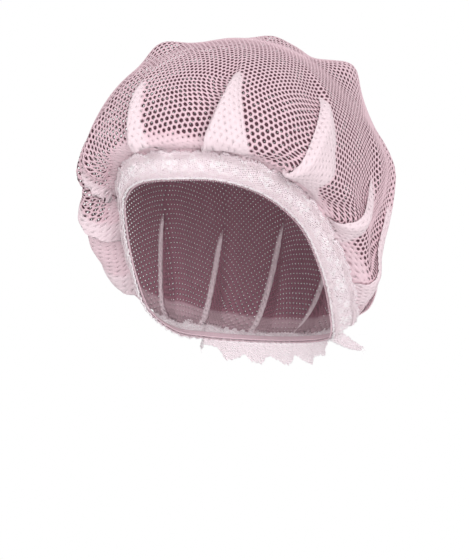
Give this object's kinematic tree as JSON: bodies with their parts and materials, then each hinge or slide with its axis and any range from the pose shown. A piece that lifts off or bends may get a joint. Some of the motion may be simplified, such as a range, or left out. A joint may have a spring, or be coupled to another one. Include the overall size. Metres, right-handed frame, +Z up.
{
  "type": "hair net",
  "caption": "Hair net as worn: gathered bag of open round-hole mesh, lace band over forehead and temples, gathered lace frill on an elastic at the nape.",
  "frame": {"origin": "centre of the head opening, midway between the forehead, nape and temple edges of the lace", "axes": "+Z up along the wearer's head, the wearer faces -Y, the wearer's left ear is on +X"},
  "size_m": [0.2215, 0.2204, 0.2325],
  "materials": {
    "mesh_yarn": "pink knitted mesh",
    "lace_yarn": "pale pink lace",
    "elastic_yarn": "picot elastic",
    "thread_yarn": "sewing thread"
  },
  "bodies": {
    "root": {"crown_net": "mesh_yarn", "front_lace": "lace_yarn", "front_elastic": "elastic_yarn", "front_seam_thread": "thread_yarn", "front_stitch_thread": "thread_yarn"},
    "nape_band": {"nape_lace": "lace_yarn", "nape_elastic": "elastic_yarn", "nape_seam_thread": "thread_yarn", "nape_stitch_thread": "thread_yarn", "bar_tack_left": "thread_yarn", "bar_tack_right": "thread_yarn"},
    "lace_end_left": {"lace_end_left": "lace_yarn"},
    "lace_end_right": {"lace_end_right": "lace_yarn"}
  },
  "joints": [
    {"name": "nape_stretch", "type": "slide", "parent": "root", "child": "nape_band", "axis": [0, 0.5, -0.866], "range_m": [0, 0.025], "stiffness_N_per_m": 60},
    {"name": "lace_end_left_flap", "type": "hinge", "parent": "nape_band", "child": "lace_end_left", "pos_m": [0.05255, 0.06623, -0.04963], "axis": [0.3272, 0.7293, 0.6008], "range_deg": [-60, 50], "stiffness_Nm_per_rad": 0.00005},
    {"name": "lace_end_right_flap", "type": "hinge", "parent": "nape_band", "child": "lace_end_right", "pos_m": [-0.05255, 0.06623, -0.04963], "axis": [0.3272, -0.7293, -0.6008], "range_deg": [-60, 50], "stiffness_Nm_per_rad": 0.00005}
  ]
}
